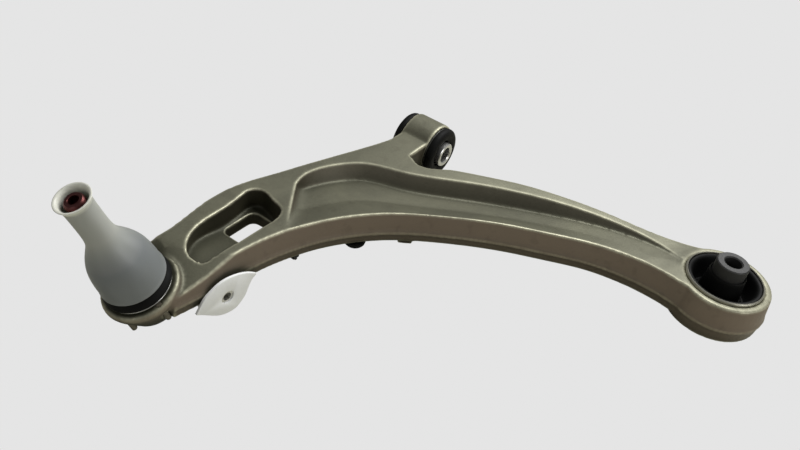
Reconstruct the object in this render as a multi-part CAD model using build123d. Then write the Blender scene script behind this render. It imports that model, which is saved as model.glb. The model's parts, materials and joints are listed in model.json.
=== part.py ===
from build123d import *
import math
import os

# Front lower control arm, left side, in millimetres.
# Origin: middle of the rear bush, on its bolt axis.  +Z runs up that axis, +X runs from the
# rear bush to the front bush along the swing axis, +Y points outboard to the ball joint.

os.makedirs("parts", exist_ok=True)

# ---- overall sizes -------------------------------------------------------------------------
FRONT_X = 282.5             # rear bush to front bush
BALL_Y = 296.9              # swing axis out to the ball joint
DRAWN_FRONT_X = 282.5       # the same two sizes in the plan as drawn further down
DRAWN_BALL_Y = 296.9


def plan(x, y):
    """A point of the drawn plan, carried to the overall sizes."""
    return (x * FRONT_X / DRAWN_FRONT_X, y * BALL_Y / DRAWN_BALL_Y)


# ---- driving dimensions of the forging ---------------------------------------------------
TOP_Z = 16.5                # top face of the beam above the parting plane
BOTTOM_Z = -12.5            # bottom face of the beam
PARTING_Z = -3.0            # plane where the two dies met
DRAFT = 7.0                 # forging draft, degrees
FLASH_PROUD = 0.7           # trimmed flash left standing along the parting plane
FLASH_HALF = 1.2
WALL = 9.0                  # flange left round the underside pockets
WEB_BOTTOM_Z = -4.5         # underside of the web above those pockets
RIB_THICK = 6.0             # ribs across the underside pockets

# ---- rear bush, bolt axis along Z --------------------------------------------------------
REAR_BORE_R = 30.5          # bore of the rear eye
REAR_EYE_WALL = 8.0         # wall of the rear eye at the parting plane
REAR_EYE_TOP = 17.0         # top of the rear eye above the parting plane
REAR_EYE_BOTTOM = -15.5
REAR_SHELL_T = 1.5          # wall of the outer shell
REAR_SHELL_HALF = 19.0      # half height of the outer shell
REAR_CORE_R = 12.6
REAR_CORE_HALF = 34.0
REAR_BOLT_R = 6.6           # bore for an M12 bolt
REAR_CAGE_T = 1.2           # steel window cage in the rubber
REAR_RING_T = 2.4           # plastic fluid channel ring
REAR_RING_HALF = 11.0
REAR_CHAMBER_DEPTH = 1.9    # fluid chambers behind the rubber, inside the cage windows

# ---- front bush, bolt axis along X -------------------------------------------------------
FRONT_EYE_WALL = 2.6        # least wall of the front eye
FRONT_EYE_HALF = 14.5
FRONT_BORE_R = 22.0
FRONT_EYE_R = FRONT_BORE_R + FRONT_EYE_WALL
FRONT_SHELL_T = 1.5
FRONT_SLEEVE_R = 11.0
FRONT_SLEEVE_HALF = 24.5
FRONT_BOLT_R = 7.2          # bore for an M14 bolt
FRONT_BEAD = 7.2            # rubber bead standing out past the eye at each end
FRONT_BEAD_R = FRONT_BORE_R + 1.2
BOND_GAP = 0.08             # skin of grease between a turning metal core and its rubber

# ---- ball joint, in its own frame: ball centre at the origin, stud along +Z ---------------
BALL_CENTRE = (*plan(314.4, 296.9), 0.2)
STUD_LEAN = 22.0            # lean of the stud from the rear bush axis, degrees
STUD_LEAN_TOWARD = 78.0     # direction of the lean from +X, degrees
BALL_R = 12.0
SEAT_GAP = 0.05             # ball to seat, radial
SEAT_WALL = 3.0
HOUSING_WALL = 2.55
HOUSING_R = BALL_R + SEAT_GAP + SEAT_WALL + HOUSING_WALL    # steel cartridge in the boss
HOUSING_NECK_R = HOUSING_R - 0.6
HOUSING_TOP = 8.0
LIP_R = BALL_R - 0.1        # opening above the ball
LIP_T = 1.7
CLOSING_T = 2.5
PRELOAD_T = 1.4
BOSS_WALL = 10.4
BOSS_R = HOUSING_R + BOSS_WALL
BOSS_TOP = 5.4
BOSS_BOTTOM = -BALL_R - 5.0
HOUSING_BOTTOM = BOSS_BOTTOM - 2.5
SNAP_RING_T = 1.2
SNAP_RING_WIDTH = 2.4
PIN_R = 2.0                 # pins that lock the cartridge in the boss
PIN_CIRCLE_R = HOUSING_R + 6.2
PINS = ((93.0, BOSS_TOP + 0.25), (33.0, 2.0))      # direction and top of each pin
PIN_BOTTOM = -12.5
NECK_R = 6.0
SHOULDER_Z = 30.0
SHANK_R = 8.5
TAPER_START_Z = 38.0
SHANK_END_Z = 66.0
SHANK_END_R = 7.5
THREAD_R = 6.9              # M14 thread
THREAD_PITCH = 1.5
STUD_END_Z = 99.0
BOOT_R = BOSS_R - 3.5
BOOT_T = 1.6
BOOT_GAP = 0.05             # boot to what it grips on another body
GUIDE_T = 1.3
GUIDE_HALF = 3.2
GUIDE_Z = 34.0
CLIP_WIRE_R = 0.55
CAP_BASE_Z = 16.0
CAP_MOUTH_Z = 100.6
CAP_T = 1.4

# ---- bracket for the ride height sensor, and what else hangs under the beam ---------------
BRACKET_T = 2.0
BRACKET_PLACE = plan(276.0, 240.0)          # on the outer face of the plate
BRACKET_TURN = 6.5          # plate turned to lie along the rear flange, degrees
BRACKET_HOLE = (13.3, -13.8)                # along the plate, and height
BRACKET_HOLE_R = 5.4
BRACKET_TABS = ((1.0, 10.0), (28.0, 13.0))  # middle and width of each tab under the beam
BRACKET_TAB_REACH = 14.0
BRACKET_RIVET_IN = 9.5      # rivets this far in from the outer face of the plate
BRACKET_RIVET_R = 2.0
BRACKET_RIVET_LENGTH = 8.0
NUT_SUNK = 0.9              # nut's end below the outer face of the plate
NUT_RELIEF_R = 8.0          # scooped from the flange behind the nut
NUT_BORE_R = 3.4            # tapping drill of an M8 thread
NUT_FLANGE_R = 6.4
NUT_DEPTH = 7.0
BUFFER_PLACE = plan(252.5, 139)   # rubber buffer under the bend of the beam
BUFFER_R = 9.0
BUFFER_DROP = 4.5
BUFFER_STEM_R = 3.5
BUFFER_STEM = 9.0
CLIP_PLACE = plan(277, 184)     # spring clip pushed up into the rear flange
CLIP_SIZE = (6.0, 6.0, 6.0)
STOP_PAD = plan(224, 109)       # small machining stop under the rear flange
STOP_PAD_SIZE = (12.0, 5.5, 4.5)


# ---- the plan of the beam at the parting plane ---------------------------------------------
# rear edge, from the rear eye out to the ball joint
REAR_EDGE = [(20, 33), (44, 30), (70, 32), (96, 38.5), (123, 51), (150, 64.5), (176, 80),
             (200, 97), (222, 115), (239, 133), (252, 151), (263, 171), (271, 192),
             (277, 215), (280.5, 240), (282, 264), (285, 285), (286.5, 294)]
# front edge, from the ball joint back to the front eye
FRONT_EDGE = [(340, 296), (340, 286), (337.5, 268), (338, 250), (341, 230), (343.5, 208), (342.5, 188),
              (338, 168), (331.5, 148), (325, 126), (318, 104), (311, 82), (304, 60), (298, 38)]
# inboard edge, from the pocket beside the front bush back to the rear eye
INBOARD_EDGE = [(263, 46), (253, 49.5), (244, 45), (236, 37.5), (221, 28), (198, 16),
                (174, 5), (149, -3), (124, -9), (98, -13), (72, -15.5), (48, -20), (24, -29)]

# channel in the top face: edge of the channel, rear edge of the beam beside it, floor height
CHANNEL_STATIONS = [((34, 2), (30, 33), 15.4), ((52, -3), (50, 33), 14.0),
                    ((80, -4.3), (76, 36), 11.6), ((115, 0.8), (104, 43), 8.6),
                    ((150, 11.3), (133, 56), 5.8), ((178, 23.5), (160, 70), 4.4),
                    ((205, 38.3), (184, 86), 3.8), ((231, 55.1), (207, 104), 3.8),
                    ((260, 71.5), (229, 123), 4.2), ((288, 84.5), (246, 144), 4.4),
                    ((304, 105), (258, 163), 4.6), ((311, 122), (265, 177), 5.2),
                    ((312, 136), (271, 190), 7.5), ((309, 147), (275, 200), 15.0)]
WALL_LEAN = 0.72            # plan width of the channel's steep wall over its depth

# pocket that steps down to the window, and the window itself
POCKET_OUTLINE = [(293, 258), (291, 236), (290.5, 208), (290.5, 190), (295, 181),
                  (308, 176.5), (321, 174), (326.5, 178), (327, 192), (325, 214), (323, 240),
                  (315, 256), (303, 263)]
POCKET_FLOOR_Z = -1.0
POCKET_RAMP = 11.0          # rise of the pocket floor toward the ball joint, degrees
WINDOW_PLACE = plan(310.5, 199)
WINDOW_SIZE = (22.0, 34.0)
WINDOW_RIM = 7.0            # full height metal left round the window, underneath
RIB_PLACES = [((95, 12), 0), ((160, 38), 20), ((222, 78), 38), ((275, 125), 60)]


def joint_frame():
    """The ball joint's own frame in the frame of the arm."""
    lean = math.radians(STUD_LEAN)
    toward = math.radians(STUD_LEAN_TOWARD)
    axis = (math.sin(lean) * math.cos(toward), math.sin(lean) * math.sin(toward),
            math.cos(lean))
    side = (math.cos(lean) * math.cos(toward), math.cos(lean) * math.sin(toward),
            -math.sin(lean))
    return Plane(origin=BALL_CENTRE, x_dir=side, z_dir=axis)


JOINT = joint_frame()


def tube(outer, inner, low, high):
    """A plain tube along Z from low to high."""
    ring = Circle(outer) - Circle(inner)
    return Pos(0, 0, low) * extrude(ring, high - low)


def disc(radius, low, high):
    return Pos(0, 0, low) * extrude(Circle(radius), high - low)


def turned(points):
    """A solid turned about Z from (radius, height) points."""
    outline = Polyline(*[(r, 0, z) for r, z in points], close=True)
    return revolve(make_face(outline), Axis.Z)


def along_x(solid, x):
    """A solid made along Z, laid along X with its origin at x."""
    return Pos(x, 0, 0) * Rot(0, 90, 0) * solid


def in_joint(solid):
    return JOINT.location * solid


def save(name, solids):
    """Write one node; a group of like pieces is one compound."""
    if isinstance(solids, list):
        solids = Compound(children=solids)
    solids.label = name
    export_step(solids, "parts/" + name + ".step")


# ---- the forging ---------------------------------------------------------------------------
def moved_in(drawn, inset):
    """Points of a drawn edge, carried to size and moved to its right, into the beam."""
    points = [plan(x, y) for x, y in drawn]
    moved = []
    last = len(points) - 1
    for i, (x, y) in enumerate(points):
        before = points[max(i - 1, 0)]
        after = points[min(i + 1, last)]
        along = (Vector(*after) - Vector(*before)).normalized()
        moved.append((x + along.Y * inset, y - along.X * inset))
    return moved


def beam_face(inset):
    """Plan of the beam, smaller all round by the inset."""
    rear = moved_in(REAR_EDGE, inset)
    front = moved_in(FRONT_EDGE, inset)
    inboard = moved_in(INBOARD_EDGE, inset)
    return make_face([Spline(*rear), Line(rear[-1], front[0]), Spline(*front),
                      Line(front[-1], inboard[0]), Spline(*inboard),
                      Line(inboard[-1], rear[0])])


def drafted():
    """Forged stock on both sides of the parting plane, with the trimmed flash between."""
    slope = math.tan(math.radians(DRAFT))
    middle = Pos(0, 0, PARTING_Z) * beam_face(0)
    blank = Pos(0, 0, PARTING_Z - FLASH_HALF) * extrude(beam_face(-FLASH_PROUD), 2 * FLASH_HALF)
    for z in (TOP_Z, BOTTOM_Z):
        end = Pos(0, 0, z) * beam_face(abs(z - PARTING_Z) * slope)
        blank += loft([middle, end], ruled=True)
    return blank


def eye_blank(radius, top, bottom):
    """A forged eye with its draft and its trimmed flash, about Z."""
    slope = math.tan(math.radians(DRAFT))
    low, high = PARTING_Z - FLASH_HALF, PARTING_Z + FLASH_HALF
    return turned([(0, bottom), (radius + (bottom - low) * slope, bottom), (radius, low),
                   (radius + FLASH_PROUD, low), (radius + FLASH_PROUD, high), (radius, high),
                   (radius - (top - high) * slope, top), (0, top)])


def channel_cut():
    sections = []
    for edge, rear, floor in CHANNEL_STATIONS:
        start = Vector(*plan(*edge), 0)
        across = Vector(*plan(*rear), 0) - start
        width = across.length
        unit = across.normalized()
        above = Vector(0, 0, TOP_Z + 4)

        def at(run, z):
            return start + unit * run + Vector(0, 0, z)
        run = WALL_LEAN * (TOP_Z - floor)
        section = Polyline(start + above, at(0, TOP_Z + 0.2), at(run, floor),
                           at(run + 0.08 * width, floor + 0.8), at(0.55 * width, floor + 2.6),
                           at(width, TOP_Z + 0.3), start + unit * width + above, close=True)
        sections.append(make_face(section))
    return loft(sections)


def window_cut():
    """The stepped window between the channel and the ball joint."""
    outline = make_face(Spline(*[plan(x, y) for x, y in POCKET_OUTLINE], periodic=True))
    pocket = Pos(0, 0, POCKET_FLOOR_Z) * extrude(outline, TOP_Z - POCKET_FLOOR_Z + 4)
    x, y = WINDOW_PLACE
    far_side = y + WINDOW_SIZE[1] / 2
    floor = Pos(x, far_side, POCKET_FLOOR_Z) * Rot(POCKET_RAMP, 0, 0) * Box(
        80, 120, 40, align=(Align.CENTER, Align.MIN, Align.MAX))
    opening = Pos(x, y, 0) * extrude(RectangleRounded(*WINDOW_SIZE, 6), 60, both=True)
    return (pocket - floor) + opening


def boss_ramp():
    """Stock above the slope that falls from the beam's top face to the ball joint boss."""
    start = Vector(*plan(281, 240), TOP_Z)
    down = Vector(*plan(283, 285), TOP_Z - 10.0) - start
    across = Vector(*plan(325, 285), TOP_Z - 3.5) - start
    up = across.cross(down)
    slope = Plane(origin=start, x_dir=down, z_dir=up if up.Z > 0 else -up)
    stock = Box(240, 240, 40, align=(Align.CENTER, Align.CENTER, Align.MIN))
    return slope.location * stock


def underside_pockets():
    inner = beam_face(WALL)
    keep = Circle(REAR_BORE_R + REAR_EYE_WALL + 4)
    keep += Pos(BALL_CENTRE[0], BALL_CENTRE[1]) * Circle(BOSS_R + 18)
    keep += Pos(FRONT_X, 0) * Rectangle(2 * FRONT_EYE_HALF + 16, 2 * FRONT_EYE_R + 22)
    around = [size + 2 * WINDOW_RIM for size in WINDOW_SIZE]
    keep += Pos(*WINDOW_PLACE) * RectangleRounded(*around, 8)
    for place, turn in RIB_PLACES:
        keep += Pos(*plan(*place)) * Rot(0, 0, turn) * Rectangle(RIB_THICK, 140)
    depth = WEB_BOTTOM_Z - BOTTOM_Z
    cuts = []
    for region in (inner - keep).faces():
        if region.area > 300:
            cuts.append(Pos(0, 0, BOTTOM_Z - 0.1) * extrude(region, depth + 0.1))
    return cuts


def arm_forging():
    arm = drafted()
    arm += eye_blank(REAR_BORE_R + REAR_EYE_WALL, REAR_EYE_TOP, REAR_EYE_BOTTOM)
    arm += along_x(disc(FRONT_EYE_R, -FRONT_EYE_HALF, FRONT_EYE_HALF), FRONT_X)
    middle = (TOP_Z + BOTTOM_Z) / 2
    arm += Pos(FRONT_X, 30, middle) * Box(2 * FRONT_EYE_HALF - 1, 44, TOP_Z - BOTTOM_Z - 1)
    arm -= in_joint(disc(BOSS_R + 12, BOSS_TOP, 60))
    arm -= boss_ramp()
    arm += in_joint(turned([(0, BOSS_BOTTOM), (BOSS_R - 8.5, BOSS_BOTTOM), (BOSS_R - 5.0, -11),
                            (BOSS_R - 2.2, -5), (BOSS_R, 1), (BOSS_R, 3.5),
                            (BOSS_R - 1.2, BOSS_TOP), (0, BOSS_TOP)]))
    arm -= in_joint(disc(RING_GROOVE + SNAP_RING_WIDTH + 2, -60, BOSS_BOTTOM))
    arm -= channel_cut()
    arm -= window_cut()
    for cut in underside_pockets():
        arm -= cut
    arm -= disc(REAR_BORE_R, -40, 40)
    arm -= along_x(disc(FRONT_BORE_R, -40, 40), FRONT_X)
    arm -= in_joint(disc(HOUSING_R, -60, 60))
    for x, y, top in pin_places():
        arm -= in_joint(Pos(x, y) * disc(PIN_R, -60, top))
    for along, _ in BRACKET_TABS:
        shank = Pos(BRACKET_RIVET_IN, along, BOTTOM_Z) * disc(
            BRACKET_RIVET_R, -1, BRACKET_RIVET_LENGTH)
        arm -= on_bracket(shank)
    arm -= on_bracket(at_nut(disc(NUT_RELIEF_R, -6, NUT_DEPTH + 5)))
    arm -= Pos(*BUFFER_PLACE, BOTTOM_Z) * disc(BUFFER_STEM_R, -1, BUFFER_STEM)
    arm -= Pos(*CLIP_PLACE, BOTTOM_Z) * clip_tongue(0)
    return arm + stop_pad()


def stop_pad():
    length, width, drop = STOP_PAD_SIZE
    pad = Box(length, width, drop + 1, align=(Align.CENTER, Align.CENTER, Align.MIN))
    return Pos(*STOP_PAD, BOTTOM_Z - drop) * Rot(0, 0, 38) * pad


# ---- the ball joint ------------------------------------------------------------------------
def pin_places():
    """Centre and top of each pin in the joint's own frame."""
    angles = [(math.radians(turn), top) for turn, top in PINS]
    return [(PIN_CIRCLE_R * math.cos(a), PIN_CIRCLE_R * math.sin(a), top) for a, top in angles]


SEAT_R = BALL_R + SEAT_GAP
BORE_R = SEAT_R + SEAT_WALL                 # bore of the housing round the seat
SEAT_TOP = HOUSING_TOP - LIP_T
SEAT_BOTTOM = -(SEAT_R + 1.2)
CLOSING_TOP = SEAT_BOTTOM - PRELOAD_T
RING_GROOVE = HOUSING_R - 0.7


def ball_joint_housing():
    low = BOSS_BOTTOM - SNAP_RING_T
    outline = [(LIP_R, HOUSING_TOP), (HOUSING_NECK_R, HOUSING_TOP), (HOUSING_NECK_R, BOSS_TOP),
               (HOUSING_R, BOSS_TOP - 0.6), (HOUSING_R, BOSS_BOTTOM), (RING_GROOVE, BOSS_BOTTOM),
               (RING_GROOVE, low), (HOUSING_R, low), (HOUSING_R - 0.8, HOUSING_BOTTOM),
               (BORE_R - 1.6, HOUSING_BOTTOM), (BORE_R - 1.6, CLOSING_TOP - CLOSING_T),
               (BORE_R, CLOSING_TOP - CLOSING_T), (BORE_R, SEAT_TOP), (LIP_R, SEAT_TOP)]
    return in_joint(turned(outline))


def housing_snap_ring():
    """Open ring in the groove under the boss."""
    low = BOSS_BOTTOM - SNAP_RING_T
    ring = tube(RING_GROOVE + SNAP_RING_WIDTH, RING_GROOVE, low, BOSS_BOTTOM)
    gap = Pos(RING_GROOVE, 0, low) * Box(3 * SNAP_RING_WIDTH, 7, 4 * SNAP_RING_T)
    return in_joint(ring - gap)


def ball_seats():
    """Upper and lower halves of the plastic seat round the ball."""
    upper = disc(BORE_R, 0, SEAT_TOP) - Sphere(SEAT_R)
    upper -= disc(LIP_R - 1.0, SEAT_TOP - 1.0, SEAT_TOP + 1)
    lower = disc(BORE_R, SEAT_BOTTOM, 0) - Sphere(SEAT_R)
    lower -= disc(3.0, SEAT_BOTTOM - 1, 0)
    return in_joint(upper), in_joint(lower)


def preload_ring():
    return in_joint(tube(BORE_R - 1.0, 6.0, CLOSING_TOP, SEAT_BOTTOM))


def closing_plate():
    plate = disc(BORE_R, CLOSING_TOP - CLOSING_T, CLOSING_TOP)
    plate -= disc(8.0, CLOSING_TOP - CLOSING_T - 1, CLOSING_TOP - CLOSING_T + 0.8)
    return in_joint(plate)


def housing_lock_pins():
    return [in_joint(Pos(x, y) * disc(PIN_R, PIN_BOTTOM, top)) for x, y, top in pin_places()]


def ball_stud():
    ball = Sphere(BALL_R) - disc(BALL_R, -2 * BALL_R, -BALL_R * 0.9)
    pitch_r = THREAD_R - 0.55 * THREAD_PITCH
    outline = [(0, 0), (NECK_R, 0), (NECK_R, 23), (SHANK_R + 0.6, 27),
               (SHANK_R + 0.6, SHOULDER_Z - 0.8), (SHANK_R, SHOULDER_Z),
               (SHANK_R, TAPER_START_Z), (SHANK_END_R, SHANK_END_Z - 1.0),
               (pitch_r, SHANK_END_Z), (pitch_r, SHANK_END_Z + 1.5),
               (THREAD_R, SHANK_END_Z + 2.4), (THREAD_R, STUD_END_Z - 1.4),
               (THREAD_R - 1.4, STUD_END_Z), (0, STUD_END_Z)]
    socket = extrude(RegularPolygon(2.6, 6), 5.0)
    stud = ball + turned(outline) - Pos(0, 0, STUD_END_Z - 5.0) * socket
    return in_joint(stud)


def guide_ring():
    inner = SHANK_R + 0.08
    return in_joint(tube(inner + GUIDE_T, inner, GUIDE_Z - GUIDE_HALF, GUIDE_Z + GUIDE_HALF))


GUIDE_R = SHANK_R + 0.08 + GUIDE_T


def dust_boot():
    base = BOSS_TOP + 0.3
    neck = HOUSING_NECK_R + 0.1
    t = BOOT_T
    r = BOOT_R
    grip = GUIDE_R + BOOT_GAP
    outline = [(neck, base), (r - 1.4, base), (r - 1.4, 6.1), (r - 2.1, 6.2),
               (r - 2.1, 7.6), (r - 1.2, 7.8), (r, 9.0), (r, 10.4), (r - 2.2, 13.2),
               (r - 3.9, 16.6), (r - 4.5, 20.0), (r - 7.3, 23.2), (r - 6.7, 25.8),
               (r - 10.9, 28.4), (GUIDE_R + 3.0, 30.6), (GUIDE_R + 1.9, 33.3),
               (GUIDE_R + 1.9, 34.7), (GUIDE_R + 3.0, 36.4), (grip, 36.4), (grip, 31.4),
               (r - 11.5 - 0.6 * t, 27.8 - t / 2), (r - 8.3 - t / 2, 25.4),
               (r - 9.1 - t / 3, 23.0), (r - 6.1 - t / 3, 19.4), (r - 3.9 - t, 15.6),
               (r - 3.1 - t / 2, 12.4), (r - t - 0.6, 9.4), (neck, 8.2)]
    return in_joint(turned(outline))


def wire_ring(radius, height):
    ring = Pos(radius, 0, height) * Rot(90, 0, 0) * Circle(CLIP_WIRE_R)
    return in_joint(revolve(ring, Axis.Z))


def transport_cap():
    """Soft bottle-shaped cap pushed over the boot and the stud, open at its mouth."""
    t = CAP_T
    body = BOOT_R - 1.6
    neck = SHANK_R + 1.1
    lip = neck + 2.6
    outer = [(body + 0.6, CAP_BASE_Z), (body + 0.6, CAP_BASE_Z + 1.6), (body, CAP_BASE_Z + 2.2),
             (body - 0.3, 29.0), (body - 0.9, 35.0), (body - 2.3, 41.5), (body - 5.5, 48.5),
             (body - 9.3, 55.0), (neck + 1.3, 60.5), (neck + 0.3, 66.0), (neck, 75.0),
             (neck, 90.0), (neck + 0.3, 95.0), (neck + 1.2, 98.4), (lip, CAP_MOUTH_Z)]
    inner = [(r - t, z) for r, z in outer[3:-1]]
    mouth = [(lip - 0.7 * t, CAP_MOUTH_Z)]
    skirt = [(body - t, CAP_BASE_Z)]
    return in_joint(turned(outer + mouth + inner[::-1] + skirt))


# ---- the front bush ------------------------------------------------------------------------
FRONT_RUBBER_R = FRONT_BORE_R - FRONT_SHELL_T


def front_bush_outer_shell():
    half = FRONT_EYE_HALF + 0.5
    return along_x(tube(FRONT_BORE_R, FRONT_RUBBER_R, -half, half), FRONT_X)


def front_bush_rubber():
    inner = FRONT_SLEEVE_R + BOND_GAP
    half = FRONT_EYE_HALF + 0.5
    end = half + FRONT_BEAD
    outline = [(inner, -end + 1.2), (FRONT_BEAD_R - 4.2, -end), (FRONT_BEAD_R, -end + 2.4),
               (FRONT_BEAD_R, -half), (FRONT_RUBBER_R, -half), (FRONT_RUBBER_R, half),
               (FRONT_BEAD_R, half), (FRONT_BEAD_R, end - 2.4), (FRONT_BEAD_R - 4.2, end),
               (inner, end - 1.2)]
    return along_x(turned(outline), FRONT_X)


def front_bush_inner_sleeve():
    sleeve = tube(FRONT_SLEEVE_R, FRONT_BOLT_R, -FRONT_SLEEVE_HALF, FRONT_SLEEVE_HALF)
    rims = sleeve.edges().filter_by(GeomType.CIRCLE)
    return along_x(chamfer(rims, 0.7), FRONT_X)


# ---- the rear bush -------------------------------------------------------------------------
REAR_SHELL_INNER = REAR_BORE_R - REAR_SHELL_T
RING_INNER = REAR_SHELL_INNER - REAR_RING_T
CAGE_INNER = RING_INNER - REAR_CAGE_T


def rear_bush_outer_shell():
    return tube(REAR_BORE_R, REAR_SHELL_INNER, -REAR_SHELL_HALF, REAR_SHELL_HALF)


def rear_bush_channel_ring():
    """Fluid channel ring, with the grooves that join the two chambers."""
    ring = tube(REAR_SHELL_INNER, RING_INNER, -REAR_RING_HALF, REAR_RING_HALF)
    for z in (-6.0, 0.0, 6.0):
        ring -= tube(REAR_SHELL_INNER + 1, REAR_SHELL_INNER - 1.4, z - 1.8, z + 1.8)
    return ring


def rear_bush_window_cage():
    half = REAR_RING_HALF
    cage = tube(RING_INNER, CAGE_INNER, -half, half)
    for turn in (0, 180):
        window = Pos(REAR_BORE_R, 0, 0) * Box(24, 26, 2 * half - 8)
        cage -= Rot(0, 0, turn) * window
    return cage


def rear_bush_rubber():
    core = REAR_CORE_R + BOND_GAP
    gap = CAGE_INNER - core
    half = REAR_RING_HALF
    end = REAR_CORE_HALF - 10.0         # the sleeve of rubber up and down the core
    rim = REAR_SHELL_HALF - 1.0
    outline = [(core, -end), (core + 0.17 * gap, -end), (core + 0.30 * gap, -12),
               (core + 0.56 * gap, -5), (core + 0.66 * gap, -6), (core + 0.89 * gap, -rim + 0.5),
               (REAR_SHELL_INNER, -rim), (REAR_SHELL_INNER, -half), (CAGE_INNER, -half),
               (CAGE_INNER, half), (REAR_SHELL_INNER, half), (REAR_SHELL_INNER, rim),
               (core + 0.96 * gap, rim - 0.5), (core + 0.74 * gap, 2), (core + 0.60 * gap, -1),
               (core + 0.27 * gap, 8), (core + 0.15 * gap, end), (core, end)]
    rubber = turned(outline)
    chamber = tube(CAGE_INNER + 1, CAGE_INNER - REAR_CHAMBER_DEPTH, -4.5, 4.5)
    for turn in (0, 180):
        side = Rot(0, 0, turn) * Pos(CAGE_INNER, 0, 0) * Box(20, 26, 20)
        rubber -= chamber & side
    return rubber


def rear_bush_inner_core():
    core = tube(REAR_CORE_R, REAR_BOLT_R, -REAR_CORE_HALF, REAR_CORE_HALF)
    rims = core.edges().filter_by(GeomType.CIRCLE)
    return chamfer(rims, 0.8)


# ---- under the beam ------------------------------------------------------------------------
def on_bracket(solid):
    """Carry a solid from the bracket's frame: X inward, Y along the plate."""
    return Pos(*BRACKET_PLACE, 0) * Rot(0, 0, -BRACKET_TURN) * solid


def at_nut(solid):
    """A solid made along Z, laid inward along the axis of the bracket's hole."""
    along, z = BRACKET_HOLE
    return Pos(0, along, z) * Rot(0, 90, 0) * solid


def sensor_bracket():
    """Zinc plated plate outside the rear flange, with two tabs riveted under the beam."""
    top = Spline((40.2, -14.5), (36.4, -8.4), (33, -3.8), (27.9, -0.2), (22.8, 2.4),
                 (15.1, 4.0), (6.4, 3.1), (-2.6, 0.2), (-12.8, -6.3))
    below = Spline((-12.8, -6.3), (-7.4, -11.1), (-4.8, -16.6), (-2.2, -22.1), (1.4, -26.0),
                   (5.9, -29.2), (11.4, -29.8), (16.8, -29.0), (28.2, -22.8), (40.2, -14.5))
    plate = extrude(Plane.YZ.location * make_face([top, below]), BRACKET_T)
    plate -= at_nut(disc(BRACKET_HOLE_R, -5, 20))
    for middle, width in BRACKET_TABS:
        tab = Box(BRACKET_TAB_REACH, width, BRACKET_T,
                  align=(Align.MIN, Align.CENTER, Align.MAX))
        plate += Pos(0, middle, BOTTOM_Z) * tab
        plate -= Pos(BRACKET_RIVET_IN, middle, 0) * disc(BRACKET_RIVET_R, -40, 0)
    return on_bracket(plate)


def bracket_rivets():
    rivets = []
    low = -BRACKET_T
    head = turned([(0, low), (3.6, low), (3.0, low - 1.2), (1.6, low - 1.8), (0, low - 1.8)])
    for along, _ in BRACKET_TABS:
        rivet = disc(BRACKET_RIVET_R, low, BRACKET_RIVET_LENGTH) + head
        rivets.append(on_bracket(Pos(BRACKET_RIVET_IN, along, BOTTOM_Z) * rivet))
    return rivets


def clinch_nut():
    """M8 nut set in the plate, its flange on the inner face."""
    barrel = tube(BRACKET_HOLE_R, NUT_BORE_R, NUT_SUNK, BRACKET_T)
    collar = tube(NUT_FLANGE_R, NUT_BORE_R, BRACKET_T, NUT_DEPTH)
    return on_bracket(at_nut(barrel + collar))


def rubber_buffer():
    low = -BUFFER_DROP
    outline = [(0, low), (BUFFER_R - 2.5, low), (BUFFER_R - 0.6, low + 1.4), (BUFFER_R, 0),
               (BUFFER_STEM_R, 0), (BUFFER_STEM_R, BUFFER_STEM - 1),
               (BUFFER_STEM_R - 1, BUFFER_STEM), (0, BUFFER_STEM)]
    return Pos(*BUFFER_PLACE, BOTTOM_Z) * turned(outline)


def clip_tongue(slack):
    length, width, _ = CLIP_SIZE
    return Pos(0, 0, -1) * Box(length - 3 + slack, width - 2 + slack, 8,
                               align=(Align.CENTER, Align.CENTER, Align.MIN))


def edge_clip():
    length, width, drop = CLIP_SIZE
    head = Box(length, width, drop, align=(Align.CENTER, Align.CENTER, Align.MAX))
    nib = Pos(0, 0, -drop) * Box(length, 2.0, 1.5, align=(Align.CENTER, Align.CENTER, Align.MAX))
    return Pos(*CLIP_PLACE, BOTTOM_Z) * (head + nib + clip_tongue(0))


def build():
    seat_upper, seat_lower = ball_seats()
    save("arm_forging", arm_forging())
    save("ball_joint_housing", ball_joint_housing())
    save("ball_seat_upper", seat_upper)
    save("ball_seat_lower", seat_lower)
    save("seat_preload_ring", preload_ring())
    save("housing_closing_plate", closing_plate())
    save("housing_snap_ring", housing_snap_ring())
    save("housing_lock_pins", housing_lock_pins())
    save("ball_stud", ball_stud())
    save("stud_guide_ring", guide_ring())
    save("dust_boot", dust_boot())
    save("boot_lower_clip", wire_ring(BOOT_R - 1.45, 6.9))
    save("boot_upper_clip", wire_ring(GUIDE_R + 1.9 + CLIP_WIRE_R + BOOT_GAP, GUIDE_Z))
    save("transport_cap", transport_cap())
    save("front_bush_outer_shell", front_bush_outer_shell())
    save("front_bush_rubber", front_bush_rubber())
    save("front_bush_inner_sleeve", front_bush_inner_sleeve())
    save("rear_bush_outer_shell", rear_bush_outer_shell())
    save("rear_bush_channel_ring", rear_bush_channel_ring())
    save("rear_bush_window_cage", rear_bush_window_cage())
    save("rear_bush_rubber", rear_bush_rubber())
    save("rear_bush_inner_core", rear_bush_inner_core())
    save("sensor_bracket", sensor_bracket())
    save("bracket_rivets", bracket_rivets())
    save("bracket_clinch_nut", clinch_nut())
    save("rubber_buffer", rubber_buffer())
    save("edge_clip", edge_clip())


build()
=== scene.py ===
import json
import math

import bpy
from mathutils import Matrix, Vector


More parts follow.
